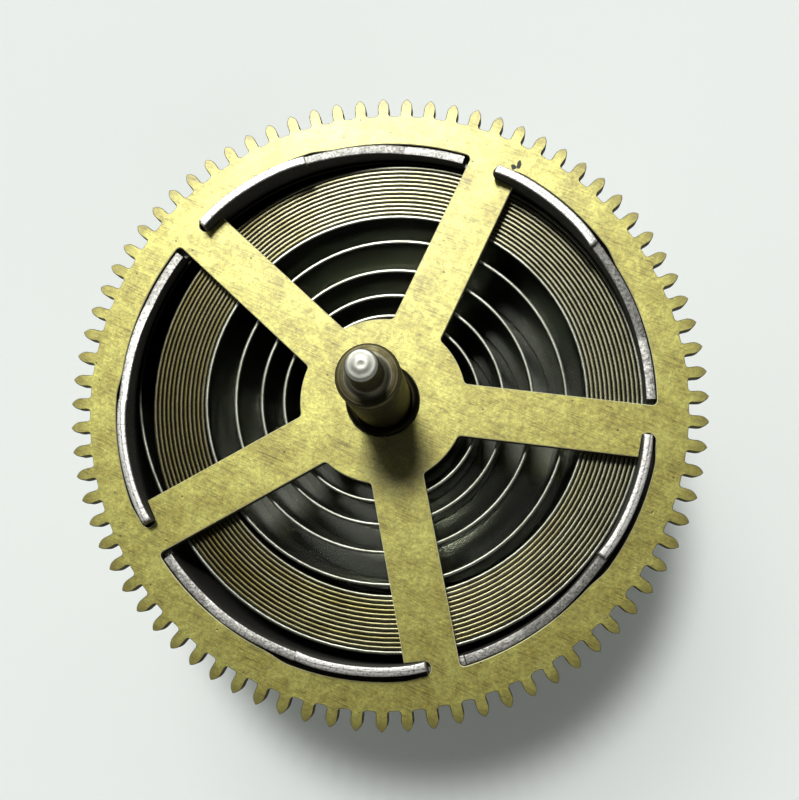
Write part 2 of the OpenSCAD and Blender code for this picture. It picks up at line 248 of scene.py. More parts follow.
def arc(centre, radius, start, end, steps):
    """Points of an arc about a centre, both ends included."""
    return [centre + polar(radius, start + (end - start) * i / steps) for i in range(steps + 1)]


def bend(middle, height, radius, start, end, steps):
    """(radius, height) pairs of an arc in a section, both ends included."""
    turns = [start + (end - start) * i / steps for i in range(steps + 1)]
    return [(middle + radius * math.cos(a), height + radius * math.sin(a)) for a in turns]


def smooth(u):
    """Smooth step from 0 to 1."""
    u = min(max(u, 0), 1)
    return u * u * (3 - 2 * u)


def piece(name, mesh_maker, body, nodes, material, sharp=35):
    """Makes a mesh object and puts it on its body in place of its CAD nodes."""
    mesh = bpy.data.meshes.new(name)
    obj = bpy.data.objects.new(name, mesh)
    bpy.context.collection.objects.link(obj)
    bm = mesh_maker()
    bmesh.ops.remove_doubles(bm, verts=bm.verts, dist=1e-7)
    bmesh.ops.recalc_face_normals(bm, faces=bm.faces)
    bm.to_mesh(mesh)
    bm.free()
    mesh.shade_smooth()
    mesh.set_sharp_from_angle(angle=math.radians(sharp))
    mesh.materials.append(material)
    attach(obj, body)
    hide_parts(*nodes)
    return obj


def band_of_faces(bm, lower, upper):
    """Faces between two rows of vertices, each row closed in itself."""
    for i, vert in enumerate(lower):
        j = (i + 1) % len(lower)
        bm.faces.new((vert, lower[j], upper[j], upper[i]))


def skin(rings, closed=False, caps=False):
    """Mesh through rings of points, each ring closed in itself."""
    bm = bmesh.new()
    rows = [[bm.verts.new(point) for point in ring] for ring in rings]
    pairs = list(zip(rows, rows[1:]))
    if closed:
        pairs.append((rows[-1], rows[0]))
    for lower, upper in pairs:
        band_of_faces(bm, lower, upper)
    if caps:
        bm.faces.new(rows[0])
        bm.faces.new(rows[-1])
    return bm


def turned(profile, steps=128, radius_at=None):
    """Rings of a turned solid through (radius, height) pairs. radius_at may change
    a ring's radius with its direction."""
    rings = []
    for radius, height in profile:
        ring = []
        for i in range(steps):
            turn = 2 * math.pi * i / steps
            here = radius_at(radius, height, turn) if radius_at else radius
            ring.append(polar(here, turn, height))
        rings.append(ring)
    return rings


def inset_loop(loop, distance):
    """The loop moved to its left by a distance."""
    count = len(loop)
    moved = []
    for i, point in enumerate(loop):
        before = (point - loop[i - 1]).normalized()
        after = (loop[(i + 1) % count] - point).normalized()
        n1 = Vector((-before.y, before.x, 0))
        n2 = Vector((-after.y, after.x, 0))
        moved.append(point + (n1 + n2) * (distance / max(1 + n1.dot(n2), 0.4)))
    return moved


def chamfered_plate(loops, low, high, chamfer):
    """Flat plate with chamfered edges. Loops have the plate on their left."""
    bm = bmesh.new()
    caps = {low: [], high: []}
    for loop in loops:
        inner = inset_loop(loop, chamfer)
        levels = [(inner, low), (loop, low + chamfer), (loop, high - chamfer), (inner, high)]
        rows = [[bm.verts.new((p.x, p.y, z)) for p in points] for points, z in levels]
        for lower, upper in zip(rows, rows[1:]):
            band_of_faces(bm, lower, upper)
        caps[low].append(rows[0])
        caps[high].append(rows[-1])
    for rows in caps.values():
        flat = [vert for row in rows for vert in row]
        for triangle in tessellate_polygon([[vert.co for vert in row] for row in rows]):
            if len(set(triangle)) == 3:
                bm.faces.new([flat[i] for i in triangle])
    return bm


# Materials

# Sockets of a Mix node of colours: how much, the colour below and the one above.
AMOUNT, BELOW, ABOVE = 0, 6, 7
# Sockets of a Map Range node, in the order of the masks' tables.
RANGE = ("Value", "From Min", "From Max", "To Min", "To Max")


def new_material(name):
    """Empty node material."""
    material = bpy.data.materials.new(name)
    material.use_nodes = True
    material.node_tree.nodes.clear()
    return material


def add(owner, kind, inputs=None, **settings):
    """Adds a shader node, sets its fields, and sets its sockets or links them to
    other nodes. A node stands for its first output that is enabled."""
    tree = owner.node_tree
    node = tree.nodes.new("ShaderNode" + kind)
    for name, value in settings.items():
        setattr(node, name, value)
    for socket, value in (inputs or {}).items():
        if isinstance(value, bpy.types.Node):
            value = next(output for output in value.outputs if output.enabled)
        if isinstance(value, bpy.types.NodeSocket):
            tree.links.new(value, node.inputs[socket])
        else:
            node.inputs[socket].default_value = value
    return node


def per(size):
    """Pattern scale for features of that many millimetres."""
    return 1 / (size * MM)


def around_axis(material, place):
    """A place's coordinates, the place laid flat, and its distance from the axis."""
    axes = add(material, "SeparateXYZ", {0: place})
    across = add(material, "CombineXYZ", {"X": axes.outputs["X"], "Y": axes.outputs["Y"]})
    return axes, across, add(material, "VectorMath", {0: across}, operation="LENGTH")


def rolled_brass(finish, wheel):
    """Rolled sheet brass, crossed out and toothed, cleaned by hand."""
    # A satin yellow-green sheen with slanting brush scratches, mottled dull
    # patches and pits, and a small nick in the rim. A painted shadow of the
    # arbor darkens the hub below it. The broken edges are painted pale as a
    # highlight in the windows, and dark as shade outside them. The teeth keep
    # old oil, and the side walls are painted nearly black as shade. The
    # scratches are drawn coarser than real ones, so that they show.
    material = new_material("rolled_sheet_brass")
    roots = wheel.teeth * wheel.module / 2 - wheel.dedendum
    tips = roots + wheel.dedendum + wheel.addendum
    windows_end, teeth_begin = 29 * MM, 30 * MM
    scratch = (3.4 * MM, 0.13 * MM, 2.2 * MM)
    # Centre of the painted shadow that the arbor casts on the hub.
    shadow_centre = (1.6 * MM, -6.4 * MM, 0)
    nick_long, nick_small = (14.45 * MM, 25.08 * MM, 0), (13.9 * MM, 24.85 * MM, 0)

    coords = add(material, "TexCoord")
    place = coords.outputs["Object"]
    _, across, radius = around_axis(material, place)
    facing = add(material, "SeparateXYZ", {0: coords.outputs["Normal"]})
    flat = add(material, "Math", {0: facing.outputs["Z"]}, operation="ABSOLUTE")
    patches, grain, blots, ragged = [
        add(material, "TexNoise", {
            "Vector": place, "Scale": per(size), "Detail": detail, "Roughness": roughness})
        for size, detail, roughness in (
            (3.2, 8, 0.8), (0.3, 4, 0.75), (0.7, 5, 0.7), (0.35, 2, 0.5))]
    slanted = add(material, "Mapping", {
        "Vector": place, "Rotation": (0, 0, math.radians(-24)), "Scale": scratch},
        vector_type="TEXTURE")
    brushed = add(material, "TexNoise", {
        "Vector": slanted, "Scale": 1, "Detail": 4, "Roughness": 0.65})
    cells = add(material, "TexVoronoi", {"Vector": place, "Scale": per(1.7), "Randomness": 1})
    # Painted shadow of the arbor: a dark patch on the hub below the arbor, with a ragged edge.
    from_shadow_centre = add(material, "VectorMath", {0: across, 1: shadow_centre}, operation="DISTANCE")
    hub_shadow_edge = add(material, "Math", {0: blots, 1: -2.6 * MM, 2: from_shadow_centre}, operation="MULTIPLY_ADD")
    stretched = add(material, "Mapping", {
        "Vector": across, "Location": nick_long, "Rotation": (0, 0, math.radians(-15)),
        "Scale": (0.5, 1, 1)}, vector_type="TEXTURE")
    long_nick = add(material, "VectorMath", {0: stretched}, operation="LENGTH")
    small_nick = add(material, "VectorMath", {0: across, 1: nick_small}, operation="DISTANCE")
    smaller = add(material, "Math", {0: small_nick, 1: 0.2 * MM}, operation="ADD")
    nick = add(material, "Math", {0: long_nick, 1: smaller}, operation="MINIMUM")
    nick_edge = add(material, "Math", {0: ragged, 1: -0.35 * MM, 2: nick}, operation="MULTIPLY_ADD")
    mask = {name: add(material, "MapRange", dict(zip(RANGE, values))) for name, *values in (
        ("stroke", brushed, 0.52, 0.6, 0, 1),
        ("worn", patches, 0.38, 0.62, 0, 0.75),
        ("pit", cells, 0.03, 0.08, 0.8, 0),
        ("fine", grain, 0.3, 0.7, 0.66, 1.26),
        ("blotch", blots, 0.38, 0.62, 0.84, 1.14),
        ("hub_shadow", hub_shadow_edge, 0.8 * MM, 3.2 * MM, 0.6, 0),
        ("nicked", nick_edge, 0.26 * MM, 0.36 * MM, 1, 0),
        ("toothed", radius, roots, tips, 0, 0.8),
        ("in_window", radius, windows_end, teeth_begin, 1, 0),
        # Side walls: painted nearly black as shade, rougher and hardly metallic.
        ("shaded_wall", flat, 0.2, 0.5, 1, 0),
        ("broken", flat, 0.8, 0.95, 0.8, 0),
    )}
    marked = add(material, "Math", {0: mask["stroke"], 1: mask["worn"]}, operation="MULTIPLY")
    soiled = add(material, "Math", {0: marked, 1: 0.9, 2: mask["pit"]}, operation="MULTIPLY_ADD")
    # Painted light on the broken edges: pale as a highlight in the windows, as dark as the shaded
    # walls outside them.
    edge_tone = add(material, "Mix", {
        AMOUNT: mask["in_window"], BELOW: (*finish.brass_wall_shade, 1), ABOVE: (*finish.brass_edge_highlight, 1)},
        data_type="RGBA")

    colour = add(material, "Mix", {
        AMOUNT: mask["worn"], BELOW: (*finish.brass, 1), ABOVE: (*finish.brass_dark, 1)},
        data_type="RGBA")
    for name in ("blotch", "fine"):
        colour = add(material, "Mix", {AMOUNT: 1.0, BELOW: colour, ABOVE: mask[name]},
                     data_type="RGBA", blend_type="MULTIPLY")
    for amount, tone in (
            (soiled, (*finish.grime_and_shade, 1)),
            (mask["hub_shadow"], (*finish.grime_and_shade, 1)),
            (mask["nicked"], (*finish.soot_and_shade, 1)),
            (mask["toothed"], (*finish.brass_old, 1)),
            (mask["broken"], edge_tone),
            (mask["shaded_wall"], (*finish.brass_wall_shade, 1))):
        colour = add(material, "Mix", {
            AMOUNT: amount, BELOW: colour, ABOVE: tone}, data_type="RGBA")

    dull = add(material, "Math", {0: mask["worn"], 1: 0.06, 2: 0.40}, operation="MULTIPLY_ADD")
    duller = add(material, "Math", {0: mask["shaded_wall"], 1: 0.3, 2: dull}, operation="MULTIPLY_ADD")
    rough = add(material, "Math", {0: brushed, 1: 0.12, 2: duller}, operation="MULTIPLY_ADD")
    black = add(material, "Math", {0: mask["shaded_wall"], 1: mask["nicked"]}, operation="MAXIMUM")
    # The pale edges are made less metallic, so that the painted highlight shows in any light.
    edge_highlight = add(material, "Math", {0: mask["broken"], 1: mask["in_window"]}, operation="MULTIPLY")
    clean = add(material, "Math", {0: black, 1: -0.8, 2: 1.0}, operation="MULTIPLY_ADD")
    bare = add(material, "Math", {0: edge_highlight, 1: -0.8, 2: clean}, operation="MULTIPLY_ADD")
    oil_film = add(material, "Math", {0: 1.0, 1: black}, operation="SUBTRACT")
    relief = add(material, "Math", {0: brushed, 1: 0.45, 2: grain}, operation="MULTIPLY_ADD")
    hollow = add(material, "Math", {0: mask["pit"], 1: -1.2, 2: relief}, operation="MULTIPLY_ADD")
    bump = add(material, "Bump", {"Height": hollow, "Strength": 0.6, "Distance": 0.035 * MM})
    shader = add(material, "BsdfPrincipled", {
        "Base Color": colour, "Metallic": bare, "Roughness": rough, "Normal": bump,
        "Coat Weight": oil_film, "Coat Roughness": 0.35})
    add(material, "OutputMaterial", {"Surface": shader})
    return material


def drawn_steel(finish):
    """Mild steel sheet drawn into a cup, bare."""
    # Grey and satin outside, with upright drawing marks. Above the wheel's
    # lower face it is mottled. The tongues' level tops are burnished bright,
    # and scored and soiled in places. The floor has a glossy film of oil. The
    # wall's inside and the gaps beside the wheel are painted black as shade.
    # The drawing marks are drawn coarser than real ones, so that they show.
    material = new_material("drawn_mild_steel")
    drawing_marks = (0.3 * MM, 0.3 * MM, 8 * MM)
    tongue, score = 27 * MM, 27.02 * MM
    top_inside, top_outside = 27.05 * MM, 27.4 * MM
    ledge_inside, ledge_outside = 27.83 * MM, 27.86 * MM
    floor_inside, floor_outside = 25.2 * MM, 25.9 * MM

    coords = add(material, "TexCoord")
    place = coords.outputs["Object"]
    axes, _, radius = around_axis(material, place)
    height = axes.outputs["Z"]
    facing = add(material, "SeparateXYZ", {0: coords.outputs["Normal"]})
    level = add(material, "CombineXYZ", {"X": facing.outputs["X"], "Y": facing.outputs["Y"]})
    outwards = add(material, "VectorMath", {0: level, 1: place}, operation="DOT_PRODUCT")
    patches, grain, speckle = [
        add(material, "TexNoise", {
            "Vector": place, "Scale": per(size), "Detail": detail, "Roughness": 0.7})
        for size, detail in ((1.3, 6), (0.16, 3), (0.26, 3))]
    marks = add(material, "Mapping", {
        "Vector": place, "Scale": drawing_marks}, vector_type="TEXTURE")
    drawn = add(material, "TexNoise", {"Vector": marks, "Scale": 1, "Detail": 3})
    from_score = add(material, "Math", {0: radius, 1: -score}, operation="ADD")
    beside_score = add(material, "Math", {0: from_score}, operation="ABSOLUTE")
    mask = {name: add(material, "MapRange", dict(zip(RANGE, values))) for name, *values in (
        ("scale", patches, 0.35, 0.7, 0.15, 0.55),
        ("fine", grain, 0.3, 0.7, 0.7, 1.1),
        ("mottle", speckle, 0.36, 0.64, 0.45, 1.45),
        ("clean", speckle, 0.38, 0.46, 0.35, 1),
        ("within", height, WHEEL_LOW.z - 0.3 * MM, WHEEL_LOW.z - 0.2 * MM, 0, 1),
        ("top", height, DRUM_HIGH.z - 0.35 * MM, DRUM_HIGH.z - 0.15 * MM, 0, 1),
        ("above_base", height, DRUM_LOW.z + 0.5 * MM, DRUM_LOW.z + 0.6 * MM, 0, 1),
        ("beside_score", beside_score, 0.03 * MM, 0.1 * MM, 0.4, 1),
        ("inner_half", radius, top_inside, top_outside, 1, 0.86),
        ("ledge", radius, ledge_inside, ledge_outside, 0, 0.95),
        ("inner", radius, floor_inside, floor_outside, 1, 0),
        ("outwards", outwards, 0.55 * tongue, 0.85 * tongue, 0, 0.95),
        ("inwards", outwards, -0.9 * tongue, -0.6 * tongue, 0.9, 0),
    )}
    rubbed = add(material, "Math", {0: mask["clean"], 1: mask["inner_half"]}, operation="MULTIPLY")
    burnished = add(material, "Math", {0: rubbed, 1: mask["beside_score"]}, operation="MULTIPLY")
    soiled = add(material, "Math", {0: 1.0, 1: burnished}, operation="SUBTRACT")
    shine = add(material, "Math", {0: mask["top"], 1: burnished}, operation="MULTIPLY")
    dirt = add(material, "Math", {0: mask["top"], 1: soiled}, operation="MULTIPLY")
    floor = add(material, "Math", {0: mask["inner"], 1: mask["above_base"]}, operation="MULTIPLY")
    # Painted shade: outward faces and the ledge above the wheel's lower face, and all inward faces,
    # are coloured black, rough and not metallic.
    outside = add(material, "Math", {0: mask["outwards"], 1: mask["ledge"]}, operation="MAXIMUM")
    shaded_gap = add(material, "Math", {0: outside, 1: mask["within"]}, operation="MULTIPLY")
    black = add(material, "Math", {0: shaded_gap, 1: mask["inwards"]}, operation="MAXIMUM")
    uneven = add(material, "Mix", {0: mask["within"], 2: mask["fine"], 3: mask["mottle"]},
                 data_type="FLOAT")

    sheet = add(material, "Mix", {
        AMOUNT: mask["scale"], BELOW: (*finish.drum, 1), ABOVE: (*finish.drum_dark, 1)},
        data_type="RGBA")
    colour = add(material, "Mix", {AMOUNT: 1.0, BELOW: sheet, ABOVE: uneven},
                 data_type="RGBA", blend_type="MULTIPLY")
    for amount, tone in (
            (dirt, finish.soot_and_shade), (shine, finish.bright),
            (floor, finish.oiled), (black, finish.soot_and_shade)):
        colour = add(material, "Mix", {
            AMOUNT: amount, BELOW: colour, ABOVE: (*tone, 1)}, data_type="RGBA")

    dry = add(material, "Math", {0: 1.0, 1: floor}, operation="SUBTRACT")
    patchy = add(material, "Math", {0: mask["scale"], 1: dry}, operation="MULTIPLY")
    rough = 0.24
    for amount, change in ((patchy, 0.22), (mask["within"], 0.14), (floor, -0.06), (black, 0.4)):
        rough = add(material, "Math", {0: amount, 1: change, 2: rough}, operation="MULTIPLY_ADD")
    bare = add(material, "Math", {0: 1.0, 1: black}, operation="SUBTRACT")
    relief = add(material, "Math", {0: drawn, 1: 1.0, 2: grain}, operation="MULTIPLY_ADD")
    depth = add(material, "Math", {0: dry, 1: 0.55, 2: 0.05}, operation="MULTIPLY_ADD")
    bump = add(material, "Bump", {"Height": relief, "Strength": depth, "Distance": 0.04 * MM})
    shader = add(material, "BsdfPrincipled", {
        "Base Color": colour, "Metallic": bare, "Roughness": rough, "Normal": bump})
    add(material, "OutputMaterial", {"Surface": shader})
    return material


def spring_steel(finish, spring):
    """Rolled and tempered spring steel with rounded edges, oiled."""
    # The flat sides are dark, smooth and glossy. The edges are silvery and
    # finely marked, and yellow with old oil where the turns lie close. The
    # pack's left side is painted darker and more olive as shade. The strip's
    # outer end, where it runs along the wall, is coloured near black.
    material = new_material("tempered_spring_steel")
    middle = polar(spring.offset, spring.direction)
    band = 0.5
    pack_inside = 20.1 * MM, 20.4 * MM
    pack_outside = 25.5 * MM, 25.8 * MM
    lower_left, upper_left = (-0.8, -0.6, 0), (-0.55, 0.83, 0)

    coords = add(material, "TexCoord")
    place = coords.outputs["Object"]
    facing = add(material, "SeparateXYZ", {0: coords.outputs["Normal"]})
    flat = add(material, "Math", {0: facing.outputs["Z"]}, operation="ABSOLUTE")
    from_middle = add(material, "VectorMath", {0: place, 1: middle}, operation="SUBTRACT")
    axes, _, radius = around_axis(material, from_middle)
    turn = add(material, "Math", {0: axes.outputs["Y"], 1: axes.outputs["X"]}, operation="ARCTAN2")
    bands_out = add(material, "Math", {0: radius, 1: per(band)}, operation="MULTIPLY")
    around = add(material, "CombineXYZ", {"X": bands_out, "Y": turn})
    bands = add(material, "TexNoise", {"Vector": around, "Scale": 1, "Detail": 2})
    oil, grain = [
        add(material, "TexNoise", {
            "Vector": place, "Scale": per(size), "Detail": detail, "Roughness": 0.7})
        for size, detail in ((3, 6), (0.2, 3))]
    side = add(material, "VectorMath", {0: place, 1: lower_left}, operation="DOT_PRODUCT")
    end = add(material, "VectorMath", {0: place, 1: upper_left}, operation="DOT_PRODUCT")
    mask = {name: add(material, "MapRange", dict(zip(RANGE, values))) for name, *values in (
        ("edge", flat, 0.15, 0.7, 0, 1),
        ("outside_open", radius, *pack_inside, 0, 1),
        ("inside_wall", radius, *pack_outside, 1, 0),
        ("yellow", bands, 0.35, 0.65, 0.6, 1),
        ("lower", side, -8 * MM, 16 * MM, 0.7, 1),
        ("left", axes.outputs["X"], -8 * MM, -19 * MM, 0, 0.6),
        ("stain", oil, 0.45, 0.70, 0, 0.5),
        ("fine", grain, 0.3, 0.7, 0.6, 1.25),
        ("end", end, 13.5 * MM, 16 * MM, 0, 0.95),
    )}
    packed = add(material, "Math", {
        0: mask["outside_open"], 1: mask["inside_wall"]}, operation="MULTIPLY")
    old = add(material, "Math", {0: mask["lower"], 1: mask["yellow"]}, operation="MULTIPLY")
    aged = add(material, "Math", {0: packed, 1: old}, operation="MULTIPLY")
    # Painted shade on the pack's left side.
    shaded_left = add(material, "Math", {0: packed, 1: mask["left"]}, operation="MULTIPLY")
    # The strip's outer end along the wall is coloured near black.
    at_wall = add(material, "Math", {0: 1.0, 1: mask["inside_wall"]}, operation="SUBTRACT")
    darkened_end = add(material, "Math", {0: mask["end"], 1: at_wall}, operation="MULTIPLY")

    silver = add(material, "Mix", {
        AMOUNT: aged, BELOW: (*finish.spring_edge, 1), ABOVE: (*finish.spring_oil, 1)},
        data_type="RGBA")
    dull = add(material, "Mix", {
        AMOUNT: shaded_left, BELOW: silver, ABOVE: (*finish.grime_and_shade, 1)}, data_type="RGBA")
    marked = add(material, "Mix", {AMOUNT: 1.0, BELOW: dull, ABOVE: mask["fine"]},
                 data_type="RGBA", blend_type="MULTIPLY")
    stained = add(material, "Mix", {
        AMOUNT: mask["stain"], BELOW: marked, ABOVE: (*finish.grime_and_shade, 1)}, data_type="RGBA")
    edged = add(material, "Mix", {
        AMOUNT: mask["edge"], BELOW: (*finish.spring, 1), ABOVE: stained}, data_type="RGBA")
    colour = add(material, "Mix", {
        AMOUNT: darkened_end, BELOW: edged, ABOVE: (*finish.soot_and_shade, 1)}, data_type="RGBA")
    rough = add(material, "Math", {0: mask["edge"], 1: 0.1, 2: 0.22}, operation="MULTIPLY_ADD")
    relief = add(material, "Math", {0: grain, 1: mask["edge"]}, operation="MULTIPLY")
    bump = add(material, "Bump", {"Height": relief, "Strength": 0.3, "Distance": 0.02 * MM})
    shader = add(material, "BsdfPrincipled", {
        "Base Color": colour, "Metallic": 1.0, "Roughness": rough, "Normal": bump})
    add(material, "OutputMaterial", {"Surface": shader})
    return material


def turned_metal(name, tone, dark, ring=0.12, roughness=0.3, strength=0.3):
    """Metal turned on a lathe, with rings as wide as the tool's feed."""
    # Fine rings run round the surface and catch the light across them, and old
    # oil has darkened it in spots.
    material = new_material(name)
    place = add(material, "TexCoord").outputs["Object"]
    axes, _, radius = around_axis(material, place)
    feed = add(material, "CombineXYZ", {"X": radius, "Z": axes.outputs["Z"]})
    rings = add(material, "TexNoise", {"Vector": feed, "Scale": per(ring), "Detail": 2})
    spots = add(material, "TexNoise", {
        "Vector": place, "Scale": per(0.9), "Detail": 6, "Roughness": 0.7})
    mark = add(material, "MapRange", dict(zip(RANGE, (spots, 0.45, 0.7, 0, 0.8))))
    banded = add(material, "MapRange", dict(zip(RANGE, (rings, 0.3, 0.7, 0.75, 1.15))))
    spotted = add(material, "Mix", {
        AMOUNT: mark, BELOW: (*tone, 1), ABOVE: (*dark, 1)}, data_type="RGBA")
    colour = add(material, "Mix", {AMOUNT: 1.0, BELOW: spotted, ABOVE: banded},
                 data_type="RGBA", blend_type="MULTIPLY")
    rough = add(material, "Math", {0: mark, 1: 0.2, 2: roughness}, operation="MULTIPLY_ADD")
    relief = add(material, "Math", {0: spots, 1: 0.8, 2: rings}, operation="MULTIPLY_ADD")
    bump = add(material, "Bump", {"Height": relief, "Strength": strength, "Distance": 0.05 * MM})
    shader = add(material, "BsdfPrincipled", {
        "Base Color": colour, "Metallic": 1.0, "Roughness": rough, "Normal": bump})
    add(material, "OutputMaterial", {"Surface": shader})
    return material


def arbor_steel(finish, arbor):
    """Turned arbor steel, browned by old oil, rubbed bright at the pivot's end."""
    # The shaft is brown and faintly ringed, and painted nearly black towards
    # its foot as shade. The pivot's end is rubbed bright, with shallow rings
    # from facing it. Its root is painted a little paler all round as a
    # highlight, which also stands for rubbing by the plate's edge. The rings
    # are drawn coarser than a tool's feed, so that they show.
    material = new_material("oiled_arbor_steel")
    shoulder = ARBOR_HIGH.z - arbor.pivot_length
    root_top = shoulder + arbor.root
    root_edge = arbor.pivot + arbor.root
    # At a scale of 1, half a wave of the wave texture is this wide.
    half_wave = math.pi / 20

    place = add(material, "TexCoord").outputs["Object"]
    axes, across, radius = around_axis(material, place)
    height = axes.outputs["Z"]
    feed = add(material, "CombineXYZ", {"X": radius, "Z": height})
    rings = add(material, "TexNoise", {"Vector": feed, "Scale": per(0.28), "Detail": 2})
    spots = add(material, "TexNoise", {
        "Vector": place, "Scale": per(0.8), "Detail": 6, "Roughness": 0.75})
    facing = add(material, "TexWave", {
        "Vector": across, "Scale": half_wave * per(0.42), "Distortion": 1.5, "Detail": 2,
        "Detail Scale": 1.5}, wave_type="RINGS", rings_direction="Z").outputs["Fac"]
    mask = {name: add(material, "MapRange", dict(zip(RANGE, values))) for name, *values in (
        ("banded", rings, 0.3, 0.7, 0.6, 1.3),
        ("faced", facing, 0, 1, 0.85, 1.25),
        ("soiled", spots, 0.4, 0.65, 0, 0.8),
        ("tip", height, ARBOR_HIGH.z - 0.3 * MM, ARBOR_HIGH.z - 0.08 * MM, 0, 1),
        ("near", radius, root_edge, root_edge + 0.15 * arbor.root, 1, 0),
        ("above", height, shoulder - 0.1 * MM, shoulder, 0, 0.22),
        ("below", height, root_top, root_top + 0.3 * arbor.root, 1, 0),
        # Painted shade: the shaft darkens to nearly black towards its foot.
        ("foot", height, WHEEL_HIGH.z + 1 * MM, WHEEL_HIGH.z + 8 * MM, 0.9, 0.1),
    )}
    # Painted highlight: a paler ring round the pivot's root, partly standing for rubbing by the
    # plate's edge.
    around = add(material, "Math", {0: mask["near"], 1: mask["above"]}, operation="MULTIPLY")
    root = add(material, "Math", {0: around, 1: mask["below"]}, operation="MULTIPLY")
    worn = add(material, "Math", {0: mask["tip"], 1: root}, operation="MAXIMUM")
    browned = add(material, "Mix", {
        AMOUNT: mask["soiled"], BELOW: (*finish.arbor, 1), ABOVE: (*finish.grime_and_shade, 1)},
        data_type="RGBA")
    ringed = add(material, "Mix", {AMOUNT: 1.0, BELOW: browned, ABOVE: mask["banded"]},
                 data_type="RGBA", blend_type="MULTIPLY")
    bare = add(material, "Mix", {AMOUNT: 1.0, BELOW: (*finish.rubbed, 1), ABOVE: mask["faced"]},
               data_type="RGBA", blend_type="MULTIPLY")
    colour = ringed
    for amount, tone in ((worn, bare), (mask["foot"], (*finish.soot_and_shade, 1))):
        colour = add(material, "Mix", {
            AMOUNT: amount, BELOW: colour, ABOVE: tone}, data_type="RGBA")
    rough = add(material, "Math", {0: mask["soiled"], 1: 0.12, 2: 0.38}, operation="MULTIPLY_ADD")
    shallow = add(material, "Math", {0: facing, 1: 0.5}, operation="MULTIPLY")
    relief = add(material, "Mix", {0: mask["tip"], 2: rings, 3: shallow}, data_type="FLOAT")
    bump = add(material, "Bump", {"Height": relief, "Strength": 0.9, "Distance": 0.045 * MM})
    shader = add(material, "BsdfPrincipled", {
        "Base Color": colour, "Metallic": 1.0, "Roughness": rough, "Normal": bump})
    add(material, "OutputMaterial", {"Surface": shader})
    return material


# Shapes of the pieces


def crossing_turn(wheel, index):
    """Direction of a crossing, counted clockwise."""
    return wheel.first - index * 2 * math.pi / wheel.crossings


def window_corner(wheel):
    """Angle from a crossing's middle to the end of a window's corner at the rim."""
    return math.asin((wheel.crossing / 2 + wheel.corner) / (wheel.window - wheel.corner))


def level_from(drum):
    """Where a tongue's level top begins, as an angle from its crossing's middle."""
    return -drum.stop - drum.level


def toothed_loop(wheel):
    """Outline of the teeth: radial flanks, ogive tips and filleted roots."""
    pitch = wheel.teeth * wheel.module / 2
    root = pitch - wheel.dedendum
    ogive = (wheel.addendum ** 2 + wheel.tooth ** 2 / 4) / wheel.tooth
    half = []
    for i in range(5):
        turn = math.pi / 2 * i / 4
        half.append((
            root + wheel.root * (1 - math.cos(turn)),
            wheel.tooth / 2 * root / pitch + wheel.root * (1 - math.sin(turn))))
    for i in range(7):
        height = wheel.addendum * (i / 7) ** 0.8
        half.append((pitch + height, wheel.tooth / 2 - ogive + math.sqrt(ogive ** 2 - height ** 2)))
    loop = []
    for tooth in range(wheel.teeth):
        middle = 2 * math.pi * tooth / wheel.teeth
        loop += [polar(r, middle - w / r) for r, w in half]
        loop.append(polar(pitch + wheel.addendum, middle))
        loop += [polar(r, middle + w / r) for r, w in reversed(half)]
    return loop


def window_loop(wheel, drum, index):
    """Outline of a window and of its tongue's slot, with the sheet on its left."""
    here = crossing_turn(wheel, index)
    after = here - 2 * math.pi / wheel.crossings
    corner = wheel.corner
    hub_far = wheel.hub + corner
    rim_far = wheel.window - corner
    hub_turn = math.asin((wheel.crossing / 2 + corner) / hub_far)
    rim_turn = window_corner(wheel)
    quarter = math.pi / 2
    # The window widens to the slot's outer radius before the level top begins.
    before_level, lead, closing = math.radians(7), math.radians(6), math.radians(5)
    relief = here - drum.stop - drum.level - before_level
    slot_outer = wheel.slot_outer - wheel.slot_close
    middle = (wheel.slot_inner + slot_outer) / 2
    end_radius = (slot_outer - wheel.slot_inner) / 2
    slot_end = here - wheel.slot_end

    def between(radius, start, end):
        """Points of an arc about the arbor's axis, without its ends."""
        steps = max(2, round(abs(end - start) / math.radians(0.6)))
        return [polar(radius, start + (end - start) * i / steps) for i in range(1, steps)]

    loop = arc(polar(hub_far, after + hub_turn), corner,
               after + hub_turn + math.pi, after + 3 * quarter, 8)
    loop += arc(polar(rim_far, after + rim_turn), corner, after - quarter, after + rim_turn, 8)
    loop += between(wheel.window, after + rim_turn, relief)
    for i in range(13):
        radius = wheel.window + (wheel.slot_outer - wheel.window) * smooth(i / 12)
        loop.append(polar(radius, relief + lead * i / 12))
    loop += between(wheel.slot_outer, relief + lead, slot_end - closing)
    for i in range(9):
        radius = wheel.slot_outer - wheel.slot_close * smooth(i / 9)
        loop.append(polar(radius, slot_end - closing + closing * i / 9))
    loop += arc(polar(middle, slot_end), end_radius, slot_end, slot_end + math.pi, 16)
    edge = here - math.asin(wheel.crossing / 2 / wheel.slot_inner)
    loop += between(wheel.slot_inner, slot_end, edge)
    loop.append(polar(wheel.slot_inner, edge))
    loop += arc(polar(hub_far, here - hub_turn), corner,
                here + quarter, here + math.pi - hub_turn, 8)
    loop += between(wheel.hub, here - hub_turn, after + hub_turn)
    loop.reverse()
    return loop


def great_wheel_mesh(wheel, drum):
    """Toothed and crossed-out plate."""
    loops = [toothed_loop(wheel)]
    loops += [window_loop(wheel, drum, index) for index in range(wheel.crossings)]
    loops.append([polar(wheel.bore, -2 * math.pi * i / 96) for i in range(96)])
    return chamfered_plate(loops, WHEEL_LOW.z, WHEEL_HIGH.z, wheel.chamfer)


